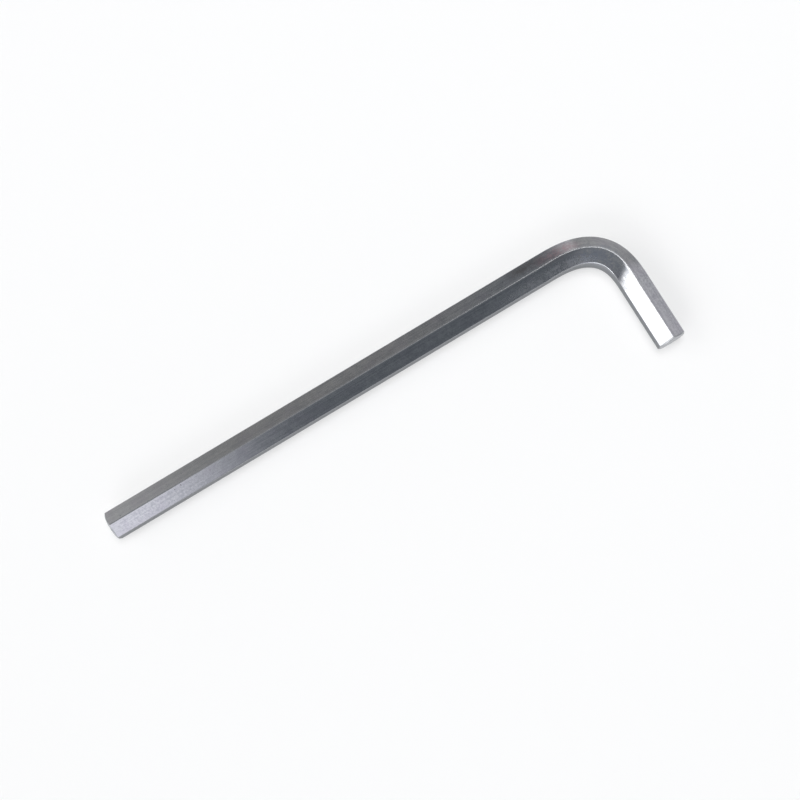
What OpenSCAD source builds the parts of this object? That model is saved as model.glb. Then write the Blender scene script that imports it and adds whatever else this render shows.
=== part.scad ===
/* [Bar] */
// Width across the flats of the hexagonal bar, the size that the key turns
across_flats = 14; // [8:0.5:19]
// Width of the narrow band that each long corner of the bar is rounded off to
corner_band = 0.45; // [0.1:0.05:1]

/* [Arms] */
// Overall length of the long arm, from its tip to the outer flat of the short arm
long_reach = 290; // [180:1:340]
// Overall length of the short arm, from its tip to the outer flat of the long arm
short_reach = 71; // [62:0.5:120]

/* [Bend] */
// Centreline radius of the bend where it is tightest
bend_radius = 20; // [16:0.5:26]
// Degrees turned while the long arm eases into the tightest part
ease_in_turn = 44; // [10:1:55]
// Degrees turned while the bend eases out into the short arm
ease_out_turn = 27; // [10:1:33]
// Where the bend is tightest, how far its upper and lower corners drift outwards, in widths across flats
corner_drift = 0.06; // [0:0.01:0.12]
// How far the corners of its inner flat drift outwards there, in widths across flats
inner_drift = 0.03; // [0:0.01:0.06]
// How much taller the inner flat grows there, as a share of its height
inner_spread = 0.3; // [0:0.05:0.4]

/* [Tips] */
// Width of the bevel round each tip, inwards from the corners of the bar
bevel_width = 1.4; // [0.9:0.05:2.5]
// Length of that bevel along the arm
bevel_length = 1.1; // [0.4:0.1:2.5]

/* [Hidden] */

// Smoothness of the bevels, and of the sweep round the bend
$fn = 96;
bend_rings = 72;

// The key is bent square, from +X round to -Y
turn = 90;

// The bar's section: flats at left and right, corners at top and bottom, each corner cut to a band
half_flats = across_flats / 2;
corner_radius = half_flats / cos(30);
top_height = corner_radius - corner_band / 2 * tan(30);
section = [
    for (corner = [30 : 60 : 330]) for (side = [-1, 1])
        top_height * [cos(corner), sin(corner)] + side * corner_band / 2 * [-sin(corner), cos(corner)]
];

// The bend's lengths along the centreline: the curvature grows evenly, holds, and fades evenly
radians = PI / 180;
ease_in = 2 * bend_radius * ease_in_turn * radians;
ease_out = 2 * bend_radius * ease_out_turn * radians;
tight = bend_radius * (turn - ease_in_turn - ease_out_turn) * radians;
bend_length = ease_in + tight + ease_out;
ring_step = bend_length / bend_rings;

// Degrees turned at a distance along the bend
function heading(along) =
    along < ease_in ? ease_in_turn * pow(along / ease_in, 2)
    : along < ease_in + tight ? ease_in_turn + (along - ease_in) / bend_radius / radians
    : turn - ease_out_turn * pow((bend_length - along) / ease_out, 2);

// Share of the tightest curvature at a distance along the bend
function tightness(along) = min(1, along / ease_in, (bend_length - along) / ease_out);

// A point of the section where the bend squeezes it: the steel of the inner side is pushed outwards
// and spreads up and down, and the outer flat stays
drift = [[-half_flats, inner_drift], [0, corner_drift], [half_flats, 0]];
function squeezed(q, share) =
    let (inner = max(0, -q[0] - corner_band) / (half_flats - corner_band))
    [q[0] + share * across_flats * lookup(q[0], drift), q[1] * (1 + share * inner_spread * inner)];

// The centreline of the bend, one short step after another, each along the heading at its middle
path = [
    for (i = 0, p = [0, 0]; i <= bend_rings;
        p = p + ring_step * [cos(heading((i + 0.5) * ring_step)), -sin(heading((i + 0.5) * ring_step))],
        i = i + 1) p
];
bend_end = path[bend_rings];

// What is left of each reach, measured to the outer flats, is the straight part of its arm
long_straight = long_reach - half_flats - bend_end[0];
short_straight = short_reach - half_flats + bend_end[1];

// A straight arm along +X from the bend to its bevelled tip
module arm(length) {
    rotate([0, 90, 0]) rotate([0, 0, 90]) intersection() {
        linear_extrude(height = length) polygon(section);
        union() {
            cylinder(r = across_flats, h = length - bevel_length);
            translate([0, 0, length - bevel_length])
                cylinder(r1 = corner_radius, r2 = corner_radius - bevel_width, h = bevel_length);
        }
    }
}

// The bar swept round the bend, a ring of its section at each step of the centreline
module bend() {
    corners = len(section);
    rings = [
        for (i = [0 : bend_rings]) let (h = heading(i * ring_step), share = tightness(i * ring_step))
            for (point = section) let (q = squeezed(point, share))
                [path[i][0] + q[0] * sin(h), path[i][1] + q[0] * cos(h), q[1]]
    ];
    start_cap = [for (j = [0 : corners - 1]) j];
    end_cap = [for (j = [corners - 1 : -1 : 0]) bend_rings * corners + j];
    sides = [
        for (i = [0 : bend_rings - 1]) for (j = [0 : corners - 1]) let (k = (j + 1) % corners)
            [i * corners + j, (i + 1) * corners + j, (i + 1) * corners + k, i * corners + k]
    ];
    polyhedron(points = rings, faces = concat([start_cap], [end_cap], sides), convexity = 4);
}

module hex_key() {
    bend_start = [long_straight - long_reach / 2, short_reach / 2 - half_flats, top_height];
    color("silver") translate(bend_start) union() {
        mirror([1, 0, 0]) arm(long_straight);
        bend();
        translate([bend_end[0], bend_end[1], 0]) rotate([0, 0, -turn]) arm(short_straight);
    }
}

hex_key();
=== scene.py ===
import bpy
import math
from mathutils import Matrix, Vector


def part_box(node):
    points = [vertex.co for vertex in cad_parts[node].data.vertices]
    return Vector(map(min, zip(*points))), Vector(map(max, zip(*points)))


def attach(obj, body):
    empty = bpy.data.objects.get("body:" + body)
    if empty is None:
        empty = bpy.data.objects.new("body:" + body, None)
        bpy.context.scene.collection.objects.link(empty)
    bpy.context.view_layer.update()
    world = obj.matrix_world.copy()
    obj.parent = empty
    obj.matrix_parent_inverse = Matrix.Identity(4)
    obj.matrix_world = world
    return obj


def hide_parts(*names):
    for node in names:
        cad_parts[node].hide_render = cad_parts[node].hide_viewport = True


# A hex key of chrome-plated tool steel, lying on a pale table
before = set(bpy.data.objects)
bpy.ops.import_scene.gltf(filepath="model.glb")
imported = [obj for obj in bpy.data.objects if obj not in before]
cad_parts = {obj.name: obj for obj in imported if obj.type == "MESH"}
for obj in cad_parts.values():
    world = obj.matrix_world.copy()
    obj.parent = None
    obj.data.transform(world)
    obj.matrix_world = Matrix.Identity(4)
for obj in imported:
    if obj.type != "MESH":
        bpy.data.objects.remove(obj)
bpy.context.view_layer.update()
print("frame loaded:", sorted(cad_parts))

mm = 0.001


# sRGB hex to the linear colour that the shaders use
def linearColour(hexText):
    parts = [int(hexText[i:i + 2], 16) / 255 for i in (1, 3, 5)]
    linear = [p / 12.92 if p <= 0.04045 else ((p + 0.055) / 1.055) ** 2.4 for p in parts]
    return (*linear, 1.0)


# Settings are the node's own or those of its inputs, and links go from its inputs to what feeds them.
# A node that feeds one stands for its first output in use. In a Mix node, inputs 2 and 3 are the two
# values, and 6 and 7 the two colours.
def addNode(tree, kind, settings=None, links=None):
    node = tree.nodes.new(kind)
    for name, value in (settings or {}).items():
        if isinstance(name, str) and hasattr(node, name):
            setattr(node, name, value)
        else:
            node.inputs[name].default_value = value
    for name, source in (links or {}).items():
        if isinstance(source, bpy.types.Node):
            source = next(output for output in source.outputs if output.enabled)
        tree.links.new(source, node.inputs[name])
    return node


# The bar, in millimetres. Its sizes are the frame's where nothing else is said, and the frame's box
# gives the lengths of the arms.
bar = {
    "acrossFlats": 14.0,
    "cornerBand": 0.45,        # width that the frame cuts off each long corner
    "sideBand": 0.2,           # and of the crisper bands on its four side corners
    "bandSoft": 0.06,          # width of the soft edge on either side of a band
    "insideSoft": 0.3,         # wider above the inner flat, where a highlight runs along the bend
    "mostSoft": 0.4,           # but on the band itself at most this share of it
    "flatSteps": 8,            # faces across each flat
    "bendRadius": 20.0,        # centreline radius where the bend is tightest
    "easeInTurn": 44.0,        # degrees
    "easeOutTurn": 27.0,
    "cornerDrift": 0.84,       # in the tightest bend the upper and lower corners drift outwards
    "innerDrift": 0.42,        # as the corners of the inner flat do
    "innerSpread": 0.3,        # and that flat grows taller by this share of its height
    "innerCrown": 0.2,         # while its middle bulges
    "crownPower": 8,           # only close to the flat
    "bevelWidth": 1.4,         # inwards from the sharp corners
    "bevelLength": 0.85,       # a little shorter than the frame's, as the photo's upper corner ends
    "edgeRound": 0.12,         # how softly the bevel meets the flats and the tip
    "rimDepth": 0.02,          # of the tip's rim, between its bevel and its flat face
    "faceRings": (0.66, 0.33),  # rings inside that face, as shares of its radius
    "armStep": 4.0,            # between rings along the arms
    "bendStep": 0.5,
    "tipGap": 0.8,             # from the last of those rings to the bevel
    "topRub": 0.8,             # how bright the upper and lower corners are rubbed, from 0 to 1
    "sideRub": 0.2,
    "tipRub": 0.4,
}

halfFlats = bar["acrossFlats"] / 2
halfCorner = math.radians(30)
sharpCorner = halfFlats / math.cos(halfCorner)
cornerTop = sharpCorner - bar["cornerBand"] / 2 * math.tan(halfCorner)
low, high = [[v / mm for v in corner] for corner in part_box("hex_key")]


# Points round the bar as (across, up, rub), each corner and then the flat after it. The angles are
# those of the corners: 90 and 270 are the upper and lower ones, and 150 is above the inner flat.
def makeSection():
    corners = []
    for middle in range(30, 360, 60):
        upright = middle in (90, 270)
        band = bar["cornerBand"] if upright else bar["sideBand"]
        rub = bar["topRub"] if upright else bar["sideRub"]
        soft = bar["insideSoft"] if middle == 150 else bar["bandSoft"]
        angle = math.radians(middle)
        out = (math.cos(angle), math.sin(angle))
        beside = (-out[1], out[0])
        reach = sharpCorner - band / 2 * math.tan(halfCorner)
        corner = []
        for side in (-1, 1):
            edge = [reach * out[i] + side * band / 2 * beside[i] for i in (0, 1)]
            onBand = [edge[i] - side * min(soft, bar["mostSoft"] * band) * beside[i] for i in (0, 1)]
            flatAngle = math.radians(middle + side * 120)
            onFlat = (edge[0] + soft * math.cos(flatAngle), edge[1] + soft * math.sin(flatAngle))
            points = [(*onBand, rub), (*edge, rub), (*onFlat, rub)]
            corner += points[::-1] if side < 0 else points
        corners.append(corner)
    section = []
    for i, corner in enumerate(corners):
        section += corner
        start, end = corner[-1], corners[(i + 1) % 6][0]
        for step in range(1, bar["flatSteps"]):
            share = step / bar["flatSteps"]
            across, up = [start[k] + (end[k] - start[k]) * share for k in (0, 1)]
            section.append((across, up, 0.0))
    return section


# A point of the section where the bend squeezes it: the inner side is pushed outwards and spreads
def squeeze(across, up, share):
    inner = min(1.0, max(0.0, -across - bar["cornerBand"]) / (halfFlats - bar["cornerBand"]))
    flatHalf = halfFlats * math.tan(halfCorner)
    height = max(-1.0, min(1.0, up / flatHalf))
    if across < 0:
        drift = bar["cornerDrift"] + (bar["innerDrift"] - bar["cornerDrift"]) * -across / halfFlats
        drift -= bar["innerCrown"] * inner ** bar["crownPower"] * (1 - height * height)
    else:
        drift = bar["cornerDrift"] * (1 - across / halfFlats)
    taller = bar["innerSpread"] * inner * height * flatHalf
    return across + share * drift, up + share * taller


# The centreline as (distance, x, y, heading in radians, tightness) from the long tip to the short
def makeRoute():
    radius = bar["bendRadius"]
    turnIn, turnOut = math.radians(bar["easeInTurn"]), math.radians(bar["easeOutTurn"])
    easeIn, easeOut = 2 * radius * turnIn, 2 * radius * turnOut
    tight = radius * (math.pi / 2 - turnIn - turnOut)
    bendLength = easeIn + tight + easeOut

    # The curvature grows evenly, holds and fades evenly
    def heading(along):
        if along < easeIn:
            return turnIn * (along / easeIn) ** 2
        if along < easeIn + tight:
            return turnIn + (along - easeIn) / radius
        return math.pi / 2 - turnOut * ((bendLength - along) / easeOut) ** 2

    def tightness(along):
        return max(0.0, min(1.0, along / easeIn, (bendLength - along) / easeOut))

    steps = round(bendLength / bar["bendStep"])
    step = bendLength / steps
    bend = [(0.0, 0.0)]
    for i in range(steps):
        middle = heading((i + 0.5) * step)
        x, y = bend[-1]
        bend.append((x + step * math.cos(middle), y - step * math.sin(middle)))

    # What the frame's box leaves beside the bend is the straight part of each arm
    longStraight = high[0] - low[0] - halfFlats - bend[-1][0]
    shortStraight = high[1] - low[1] - halfFlats + bend[-1][1]
    startX, startY = low[0] + longStraight, high[1] - halfFlats
    route = []
    longSteps = round(longStraight / bar["armStep"])
    for i in range(longSteps):
        along = longStraight * i / longSteps
        route.append((along, low[0] + along, startY, 0.0, 0.0))
    for i, (x, y) in enumerate(bend):
        along = i * step
        route.append((longStraight + along, startX + x, startY + y, heading(along), tightness(along)))
    endX, endY = startX + bend[-1][0], startY + bend[-1][1]
    shortSteps = round(shortStraight / bar["armStep"])
    for i in range(1, shortSteps + 1):
        along = shortStraight * i / shortSteps
        route.append((longStraight + bendLength + along, endX, endY - along, math.pi / 2, 0.0))
    return route


# Rings that close a tip, from the flats to its middle, as points (across, up, depth, rub) with the
# depth back from the tip
def makeTipRings(section):
    soft = bar["edgeRound"]
    slope = bar["bevelLength"] / bar["bevelWidth"]
    faceRadius = sharpCorner - bar["bevelWidth"]
    rings = []
    # One ring on the flats just before the bevel, and two on the bevel's outer edge
    for inset, setBack in ((0.0, soft), (0.3 * soft, 0.0), (1.3 * soft, 0.0)):
        ring = []
        for across, up, rub in section:
            reach = math.hypot(across, up)
            shrink = (reach - inset) / reach
            depth = bar["bevelLength"] - (sharpCorner - (reach - inset)) * slope + setBack
            ring.append((across * shrink, up * shrink, depth, bar["tipRub"]))
        rings.append(ring)
    # Round rings as (radius, depth): one on the bevel's inner edge, the rim, and those of the flat face
    roundRings = [(faceRadius + soft, soft * slope), (faceRadius, bar["rimDepth"])]
    roundRings.append((faceRadius - soft, 0.0))
    roundRings += [(faceRadius * share, 0.0) for share in bar["faceRings"]]
    for radius, depth in roundRings:
        ring = []
        for across, up, rub in section:
            shrink = radius / math.hypot(across, up)
            ring.append((across * shrink, up * shrink, depth, 0.0))
        rings.append(ring)
    return rings


route = makeRoute()
barLength = route[-1][0]


# Sweeps the section along the route, closes both tips with their bevels, and notes for each point
# where it is on the straight bar and how much it is rubbed
def makeBar():
    section = makeSection()
    start, end = route[0], route[-1]
    tipRings = makeTipRings(section)
    vertices, places, rubs, faces = [], [], [], []

    def addPoint(stop, sideways, height, along, place, rub):
        x, y, turn = stop[1:4]
        vertices.append(((x + sideways * math.sin(turn) + along * math.cos(turn)) * mm,
                         (y + sideways * math.cos(turn) - along * math.sin(turn)) * mm,
                         (low[2] + cornerTop + height) * mm))
        places.append(place)
        rubs.append(rub)

    # A tip's depths run forwards along the route at its start and backwards at its end
    def addTip(stop, rings, direction):
        for ring in rings:
            for across, up, depth, rub in ring:
                along = direction * depth
                addPoint(stop, across, up, along, (stop[0] + along, across, up), rub)

    addTip(start, reversed(tipRings), 1)
    clear = bar["bevelLength"] + bar["tipGap"]
    for stop in route:
        if clear < stop[0] < barLength - clear:
            for across, up, rub in section:
                sideways, height = squeeze(across, up, stop[4])
                addPoint(stop, sideways, height, 0.0, (stop[0], across, up), rub)
    addTip(end, tipRings, -1)

    count = len(section)
    ringCount = len(vertices) // count
    for i in range(ringCount - 1):
        for j in range(count):
            k = (j + 1) % count
            faces.append((i * count + j, (i + 1) * count + j, (i + 1) * count + k, i * count + k))
    faces.append(tuple(range(count)))
    faces.append(tuple(reversed(range((ringCount - 1) * count, ringCount * count))))
    mesh = bpy.data.meshes.new("bentBar")
    mesh.from_pydata(vertices, [], faces)
    placeValues = [value for place in places for value in place]
    mesh.attributes.new("barPlace", "FLOAT_VECTOR", "POINT").data.foreach_set("vector", placeValues)
    mesh.attributes.new("cornerRub", "FLOAT", "POINT").data.foreach_set("value", rubs)
    mesh.polygons.foreach_set("use_smooth", [True] * len(mesh.polygons))
    mesh.update()
    piece = bpy.data.objects.new("bentBar", mesh)
    bpy.context.scene.collection.objects.link(piece)
    weighted = piece.modifiers.new("flatFaces", "WEIGHTED_NORMAL")
    weighted.weight = 100
    weighted.keep_sharp = False
    return piece


# Bright chromium over drawn tool steel. It gives the eye a neutral, slightly cool metal that mirrors
# the room softly, with faint streaks along the bar and small clouds of duller plating.
plating = {
    "colour": "#CDCED0",       # bright chromium, F0 about 0.6
    "clouded": "#AEB0B5",      # duller plating in small patches
    "violet": "#C1BDC6",       # and a faint violet cast in wider ones
    "insideShade": "#B2B4B7",       # painted shade: the inner flat is coloured greyer, for the shadowed table that it mirrors
    "edgeTint": "#F2F2F2",     # chromium mirrors a little less than the usual curve when seen edge on
    # painted shade too: the inner flat mirrors less when seen edge on, for the shadowed table
    "insideShadeTint": "#B1B2B4",
    "pitted": "#85878B",       # small dark pits
    "blued": "#AEB6C6",        # a bluish cast where the bend was worked
    "tarnish": "#C9B3B8",      # the reddish film of a thin spot
    "stained": "#94908F",      # a darker stain beside it
    "rubbed": "#D2D3D5",       # long corners rubbed bright
    "ground": "#B4B6B9",       # tips ground after plating, so their steel shows duller
    "roughness": (0.1, 0.18),  # over the specks
    "rubbedRoughness": 0.15,
    "handledRoughness": 0.36,
    "groundRoughness": 0.36,
    "groundEdge": 0.1,         # mm from full plating to bare steel
    "insideShadeEdge": (0.12, 0.03),  # mm from the inner flat where its painted shade starts and is full
    "streakGap": 0.7,          # mm between draw lines, really about 0.1, drawn coarse so that they show
    "streakLength": 60.0,      # mm
    "cloudSize": 4.0,          # mm
    "speckSize": 1.1,          # mm
    "castSize": 9.0,           # mm
    "nickGap": 5.0,            # mm between bright nicks
    "nickSize": 0.35,
    "pitGap": 4.2,             # mm between dark pits
    "pitSize": 0.45,
    "dotCore": 0.4,            # share of a pit or nick that has its full colour
    "noiseRoughness": 0.6,
    "streakShare": 0.35,       # how far the dull patches follow the streaks
    "dullRange": (0.42, 0.58),  # parts of the noise that show as dull, as a cast and so on
    "castRange": (0.45, 0.7),
    "castAmount": 0.4,
    "pitRange": (0.4, 0.55),
    "rubRange": (0.3, 0.6),
    "roughRange": (0.3, 0.7),
    "markRange": (0.34, 0.56),
    "clearTip": (20.0, 140.0),  # mm from the long tip where its clearer plating starts to dull and ends
    "clearAmount": 0.4,        # dull patches left at that tip
    "reliefSpecks": 0.2,       # share of the specks in the relief, beside the streaks
    "reliefStrength": 0.1,
    "reliefDepth": 0.05,       # mm
}

# Where the bar is marked, in mm along, across and up: a stain and the tarnished spot beside it, the
# blued steel of the bend, and the place that hands hold, which is hazier
marks = {
    "stained": {"at": (240.0, 4.5, 5.5), "reach": (12.0, 4.5, 4.5), "amount": 0.8},
    "tarnish": {"at": (256.0, 2.8, 6.5), "reach": (15.0, 4.8, 4.8), "amount": 0.9},
    "blued": {"at": (279.0, -3.0, 6.0), "reach": (20.0, 6.0, 6.0), "amount": 0.6},
    "handled": {"at": (250.0, -5.8, 4.7), "reach": (44.0, 6.4, 6.4), "amount": 1.0},
}
markCore = 0.35    # share of a mark's reach that has its full amount


# Noise in three sizes, and streaks from a fourth that is stretched along the bar
def makePatterns(tree, place):
    patterns = {}
    for name, detail in (("cloud", 4.0), ("speck", 2.0), ("cast", 2.0)):
        patterns[name] = addNode(
            tree, "ShaderNodeTexNoise",
            {"Scale": 1 / plating[name + "Size"], "Detail": detail,
             "Roughness": plating["noiseRoughness"]}, {"Vector": place})
    acrossStreaks = 1 / plating["streakGap"]
    stretch = (1 / plating["streakLength"], acrossStreaks, acrossStreaks)
    stretched = addNode(tree, "ShaderNodeVectorMath", {"operation": "MULTIPLY", 1: stretch}, {0: place})
    patterns["streak"] = addNode(
        tree, "ShaderNodeTexNoise",
        {"Scale": 1.0, "Detail": 3.0, "Roughness": plating["noiseRoughness"]}, {"Vector": stretched})
    return patterns


# Round dots scattered over the bar, for pits and nicks
def makeDots(tree, place, gap, size):
    cells = addNode(tree, "ShaderNodeTexVoronoi", {"Scale": 1 / gap}, {"Vector": place})
    return addNode(
        tree, "ShaderNodeMapRange",
        {"From Min": size / gap, "From Max": plating["dotCore"] * size / gap},
        {"Value": cells.outputs["Distance"]})


# A mask for each mark: full at its middle, fading out at its reach, and broken up by the tone
def makeMarks(tree, place, tone):
    marked = addNode(
        tree, "ShaderNodeMapRange",
        {"From Min": plating["markRange"][0], "From Max": plating["markRange"][1]}, {"Value": tone})
    masks = {}
    for name, mark in marks.items():
        off = addNode(
            tree, "ShaderNodeVectorMath", {"operation": "SUBTRACT", 1: mark["at"]}, {0: place})
        shares = addNode(
            tree, "ShaderNodeVectorMath", {"operation": "DIVIDE", 1: mark["reach"]}, {0: off})
        far = addNode(tree, "ShaderNodeVectorMath", {"operation": "LENGTH"}, {0: shares})
        near = addNode(
            tree, "ShaderNodeMapRange",
            {"From Min": 1.0, "From Max": markCore, "To Max": mark["amount"]},
            {"Value": far.outputs["Value"]})
        masks[name] = addNode(
            tree, "ShaderNodeMath", {"operation": "MULTIPLY"}, {0: near, 1: marked})
    return masks


def makePlating():
    material = bpy.data.materials.new("chromePlatedToolSteel")
    material.use_nodes = True
    tree = material.node_tree
    shader = tree.nodes["Principled BSDF"]
    shader.inputs["Metallic"].default_value = 1.0
    place = addNode(tree, "ShaderNodeAttribute", {"attribute_name": "barPlace"}).outputs["Vector"]
    rub = addNode(tree, "ShaderNodeAttribute", {"attribute_name": "cornerRub"}).outputs["Fac"]
    parts = addNode(tree, "ShaderNodeSeparateXYZ", {}, {0: place}).outputs

    patterns = makePatterns(tree, place)
    clouds, specks, streaks = patterns["cloud"], patterns["speck"], patterns["streak"]

    # The tone is half clouds and half specks
    tone = addNode(tree, "ShaderNodeMix", {"data_type": "FLOAT", 0: 0.5}, {2: clouds, 3: specks})
    masks = makeMarks(tree, place, tone)

    # Dull patches lie along the streaks, fewer of them towards the long tip
    drawn = addNode(
        tree, "ShaderNodeMix", {"data_type": "FLOAT", 0: plating["streakShare"]},
        {2: tone, 3: streaks})
    patches = addNode(
        tree, "ShaderNodeMapRange",
        {"From Min": plating["dullRange"][0], "From Max": plating["dullRange"][1]}, {"Value": drawn})
    fromTip = addNode(
        tree, "ShaderNodeMapRange",
        {"From Min": plating["clearTip"][0], "From Max": plating["clearTip"][1],
         "To Min": plating["clearAmount"]}, {"Value": parts["X"]})
    dull = addNode(tree, "ShaderNodeMath", {"operation": "MULTIPLY"}, {0: patches, 1: fromTip})
    cast = addNode(
        tree, "ShaderNodeMapRange",
        {"From Min": plating["castRange"][0], "From Max": plating["castRange"][1],
         "To Max": plating["castAmount"]}, {"Value": patterns["cast"]})

    # Pits show where the plating is clouded
    pitPlaces = addNode(
        tree, "ShaderNodeMapRange",
        {"From Min": plating["pitRange"][0], "From Max": plating["pitRange"][1]}, {"Value": clouds})
    pits = addNode(
        tree, "ShaderNodeMath", {"operation": "MULTIPLY"},
        {0: makeDots(tree, place, plating["pitGap"], plating["pitSize"]), 1: pitPlaces})

    # The long corners and the nicks are rubbed bright, with small gaps among the specks
    bright = addNode(
        tree, "ShaderNodeMath", {"operation": "MAXIMUM"},
        {0: rub, 1: makeDots(tree, place, plating["nickGap"], plating["nickSize"])})
    rubPlaces = addNode(
        tree, "ShaderNodeMapRange",
        {"From Min": plating["rubRange"][0], "From Max": plating["rubRange"][1]}, {"Value": specks})
    rubbed = addNode(tree, "ShaderNodeMath", {"operation": "MULTIPLY"}, {0: bright, 1: rubPlaces})

    # Painted shade on the inner flat, which is coloured greyer and mirrors less edge on, for the
    # shadowed table that it mirrors
    insideShade = addNode(
        tree, "ShaderNodeMapRange",
        {"From Min": plating["insideShadeEdge"][0] - halfFlats,
         "From Max": plating["insideShadeEdge"][1] - halfFlats}, {"Value": parts["Y"]})

    # The ground tips are the bevels and the flat faces, at either end of the bar
    middle = barLength / 2
    bevelStart = middle - bar["bevelLength"]
    fromMiddle = addNode(
        tree, "ShaderNodeMath", {"operation": "SUBTRACT", 1: middle}, {0: parts["X"]})
    eitherWay = addNode(tree, "ShaderNodeMath", {"operation": "ABSOLUTE"}, {0: fromMiddle})
    ground = addNode(
        tree, "ShaderNodeMapRange",
        {"From Min": bevelStart - plating["groundEdge"],
         "From Max": bevelStart + plating["groundEdge"]}, {"Value": eitherWay})

    # Each colour lies over the ones before it. The inner flat's grey is painted shade.
    layers = [(cast, "violet"), (pits, "pitted"), (insideShade, "insideShade"), (masks["stained"], "stained"),
              (masks["tarnish"], "tarnish"), (masks["blued"], "blued"), (rubbed, "rubbed"),
              (ground, "ground")]
    colour = addNode(
        tree, "ShaderNodeMix",
        {"data_type": "RGBA", 6: linearColour(plating["colour"]),
         7: linearColour(plating["clouded"])}, {0: dull})
    for mask, name in layers:
        colour = addNode(
            tree, "ShaderNodeMix", {"data_type": "RGBA", 7: linearColour(plating[name])},
            {0: mask, 6: colour})
    tree.links.new(colour.outputs[2], shader.inputs["Base Color"])
    # The edge-on tint is darker on the inner flat: painted shade for the shadowed table that it mirrors
    tint = addNode(
        tree, "ShaderNodeMix",
        {"data_type": "RGBA", 6: linearColour(plating["edgeTint"]),
         7: linearColour(plating["insideShadeTint"])}, {0: insideShade})
    tree.links.new(tint.outputs[2], shader.inputs["Specular Tint"])

    rough = addNode(
        tree, "ShaderNodeMapRange",
        {"From Min": plating["roughRange"][0], "From Max": plating["roughRange"][1],
         "To Min": plating["roughness"][0], "To Max": plating["roughness"][1]}, {"Value": specks})
    for mask, name in ((masks["handled"], "handled"), (bright, "rubbed"), (ground, "ground")):
        rough = addNode(
            tree, "ShaderNodeMix", {"data_type": "FLOAT", 3: plating[name + "Roughness"]},
            {0: mask, 2: rough})
    tree.links.new(rough.outputs[0], shader.inputs["Roughness"])

    relief = addNode(
        tree, "ShaderNodeMix", {"data_type": "FLOAT", 0: plating["reliefSpecks"]},
        {2: streaks, 3: specks})
    bump = addNode(
        tree, "ShaderNodeBump",
        {"Strength": plating["reliefStrength"], "Distance": plating["reliefDepth"] * mm},
        {"Height": relief})
    tree.links.new(bump.outputs[0], shader.inputs["Normal"])
    return material


key = makeBar()
key.data.materials.append(makePlating())
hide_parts("hex_key")
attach(key, "root")
print("bar swept:", len(key.data.vertices), "points")

# A table of matt white laminate, which gives the eye an even pale ground with no gloss. Near the
# key, half of what the camera and the metal see of it is its plain colour, so that the shadow stays
# light, as in a bright cut-out photo. Further off all of it is, up to where the backdrop starts.
table = {
    "colour": "#F8F8F8",
    "seenAs": "#FCFCFC",       # the plain colour
    "seenShare": 0.5,
    "plainFrom": 0.4,          # metres from the key
    "plainTo": 1.6,
    "size": 12.0,              # metres
    "roughness": 0.9,
    "specular": 0.2,
}


def makeTable():
    mesh = bpy.data.meshes.new("tableTop")
    half = table["size"] / 2
    corners = [(-half, -half, 0), (half, -half, 0), (half, half, 0), (-half, half, 0)]
    mesh.from_pydata(corners, [], [(0, 1, 2, 3)])
    top = bpy.data.objects.new("tableTop", mesh)
    bpy.context.scene.collection.objects.link(top)
    material = bpy.data.materials.new("mattWhiteLaminate")
    material.use_nodes = True
    tree = material.node_tree
    shader = tree.nodes["Principled BSDF"]
    shader.inputs["Base Color"].default_value = linearColour(table["colour"])
    shader.inputs["Roughness"].default_value = table["roughness"]
    shader.inputs["Specular IOR Level"].default_value = table["specular"]
    ray = addNode(tree, "ShaderNodeLightPath").outputs
    seen = addNode(
        tree, "ShaderNodeMath", {"operation": "MAXIMUM"},
        {0: ray["Is Camera Ray"], 1: ray["Is Glossy Ray"]})
    spot = addNode(tree, "ShaderNodeTexCoord").outputs["Object"]
    far = addNode(tree, "ShaderNodeVectorMath", {"operation": "LENGTH"}, {0: spot})
    plainShare = addNode(
        tree, "ShaderNodeMapRange",
        {"From Min": table["plainFrom"], "From Max": table["plainTo"],
         "To Min": table["seenShare"]}, {"Value": far.outputs["Value"]})
    share = addNode(tree, "ShaderNodeMath", {"operation": "MULTIPLY"}, {0: seen, 1: plainShare})
    plain = addNode(tree, "ShaderNodeEmission", {"Color": linearColour(table["seenAs"])})
    mixed = addNode(tree, "ShaderNodeMixShader", {}, {0: share, 1: shader, 2: plain})
    tree.links.new(mixed.outputs[0], tree.nodes["Material Output"].inputs["Surface"])
    mesh.materials.append(material)


# A dim studio that is paler overhead, with a pale backdrop all round at the table's level. The
# heights are in degrees above the table, as seen from the key.
room = {
    "backdrop": "#FCFCFC",
    "dim": "#696E73",
    "overhead": "#909294",
    "top": "#A6A7A9",
    "backdropTop": 13.0,
    "dimFrom": 17.0,
    "dimTo": 50.0,
    "overheadFrom": 57.0,
    "overheadTo": 72.0,
    "topFrom": 80.0,
}

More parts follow.
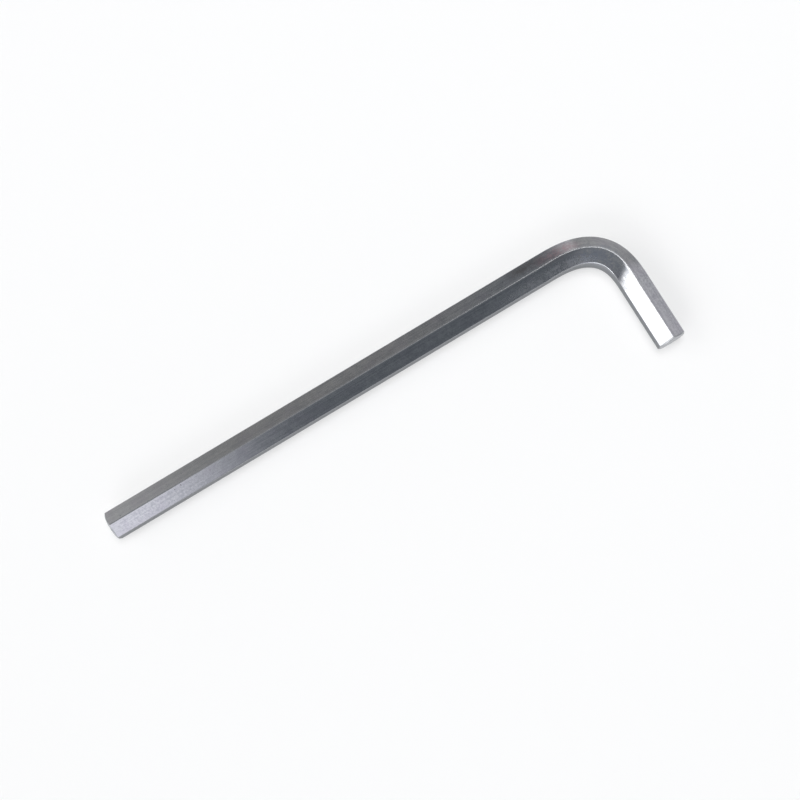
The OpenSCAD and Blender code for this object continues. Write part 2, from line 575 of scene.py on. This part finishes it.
# Soft boxes and cards round the key, the later ones in front. Angles are in degrees, as seen from
# the key: azimuth from +X towards +Y, and height above the table. "soft" is the width of the faded
# edges at the sides, then at top and bottom.
boxes = {
    "window": {
        "azimuth": (128.0, 178.5), "height": (16.0, 52.0), "soft": (3.0, 4.0),
        "colour": "#FFFFFF", "light": 2.6},
    "frontFill": {
        "azimuth": (-150.0, -94.5), "height": (24.0, 50.0), "soft": (9.0, 6.0),
        "colour": "#F6F6FF", "light": 1.2},
    "backWall": {
        "azimuth": (79.0, 160.0), "height": (15.0, 30.0), "soft": (9.0, 4.0),
        "colour": "#FFFEFC", "light": 0.25},
    "backGlow": {
        "azimuth": (95.0, 152.0), "height": (13.0, 32.0), "soft": (8.0, 3.0),
        "colour": "#FFFFFF", "light": 0.5},
    "rightWall": {
        "azimuth": (-12.0, 71.0), "height": (4.0, 26.0), "soft": (7.0, 3.5),
        "colour": "#FFFFFF", "light": 0.42},
    "rightCard": {
        "azimuth": (-18.0, 15.0), "height": (12.5, 32.0), "soft": (3.0, 3.0),
        "colour": "#FAFAFF", "light": 0.66},
    "ceilingPanel": {
        "azimuth": (8.0, 36.5), "height": (68.0, 82.0), "soft": (2.0, 4.0),
        "colour": "#FFFFFF", "light": 3.2},
    "frontLamp": {
        "azimuth": (-176.0, -118.0), "height": (18.0, 38.0), "soft": (8.0, 4.0),
        "colour": "#FFFFFF", "light": 4.6},
}


def makeRoom():
    world = bpy.data.worlds.new("studioRoom")
    bpy.context.scene.world = world
    world.use_nodes = True
    tree = world.node_tree
    direction = addNode(tree, "ShaderNodeTexCoord").outputs["Generated"]
    parts = addNode(tree, "ShaderNodeSeparateXYZ", {}, {0: direction}).outputs
    roundAngle = addNode(
        tree, "ShaderNodeMath", {"operation": "ARCTAN2"}, {0: parts["Y"], 1: parts["X"]})
    riseAngle = addNode(tree, "ShaderNodeMath", {"operation": "ARCSINE"}, {0: parts["Z"]})
    azimuth = addNode(tree, "ShaderNodeMath", {"operation": "DEGREES"}, {0: roundAngle})
    height = addNode(tree, "ShaderNodeMath", {"operation": "DEGREES"}, {0: riseAngle})

    # The room's own shades, from the table's level up
    share = addNode(
        tree, "ShaderNodeMapRange", {"From Min": 0.0, "From Max": 90.0}, {"Value": height})
    ramp = addNode(tree, "ShaderNodeValToRGB", {}, {"Fac": share})
    stops = [("backdropTop", "backdrop"), ("dimFrom", "dim"), ("dimTo", "dim"),
             ("overheadFrom", "overhead"), ("overheadTo", "overhead"), ("topFrom", "top")]
    while len(ramp.color_ramp.elements) < len(stops):
        ramp.color_ramp.elements.new(0.5)
    for element, (angle, name) in zip(ramp.color_ramp.elements, stops):
        element.position = room[angle] / 90
        element.color = linearColour(room[name])

    # Each box is painted over the ones before it
    colour = ramp
    for box in boxes.values():
        mask = None
        sides = ((azimuth, *box["azimuth"], box["soft"][0]), (height, *box["height"], box["soft"][1]))
        for angle, start, end, soft in sides:
            for outer, inner in ((start, start + soft), (end, end - soft)):
                edge = addNode(
                    tree, "ShaderNodeMapRange",
                    {"interpolation_type": "SMOOTHSTEP", "From Min": outer, "From Max": inner},
                    {"Value": angle})
                if mask:
                    edge = addNode(
                        tree, "ShaderNodeMath", {"operation": "MULTIPLY"}, {0: mask, 1: edge})
                mask = edge
        lit = [part * box["light"] for part in linearColour(box["colour"])[:3]]
        colour = addNode(
            tree, "ShaderNodeMix", {"data_type": "RGBA", 7: (*lit, 1.0)}, {0: mask, 6: colour})
    tree.links.new(colour.outputs[2], tree.nodes["Background"].inputs["Color"])


# One soft lamp high above and a little behind the bend, so that the key's shadow is short and falls
# inside its corner. The metal mirrors the room only, and the lamp lights what is matt.
lamp = {
    "place": (0.24, 0.24, 2.4),    # metres
    "size": 1.0,
    "power": 29.0,
}


def makeLamp():
    data = bpy.data.lights.new("tableLamp", "AREA")
    data.size = lamp["size"]
    data.energy = lamp["power"]
    light = bpy.data.objects.new("tableLamp", data)
    light.location = lamp["place"]
    light.rotation_euler = Vector(lamp["place"]).to_track_quat("Z", "Y").to_euler()
    light.visible_glossy = False
    light.visible_camera = False
    bpy.context.scene.collection.objects.link(light)


makeTable()
makeRoom()
makeLamp()
print("studio ready:", len(boxes), "soft boxes and cards")

# The camera looks almost straight down, fitted to the outline of the key in the photo
view = {
    "place": (-0.0108, -0.0921, 0.6893),    # metres
    "turn": (8.075, 2.940, -30.805),        # degrees
    "lens": 62.82,
}


def makeCamera():
    data = bpy.data.cameras.new("camera")
    data.lens = view["lens"]
    camera = bpy.data.objects.new("camera", data)
    camera.location = view["place"]
    camera.rotation_euler = [math.radians(angle) for angle in view["turn"]]
    bpy.context.scene.collection.objects.link(camera)
    bpy.context.scene.camera = camera


makeCamera()
bpy.context.scene.view_settings.view_transform = "Standard"
print("camera set")
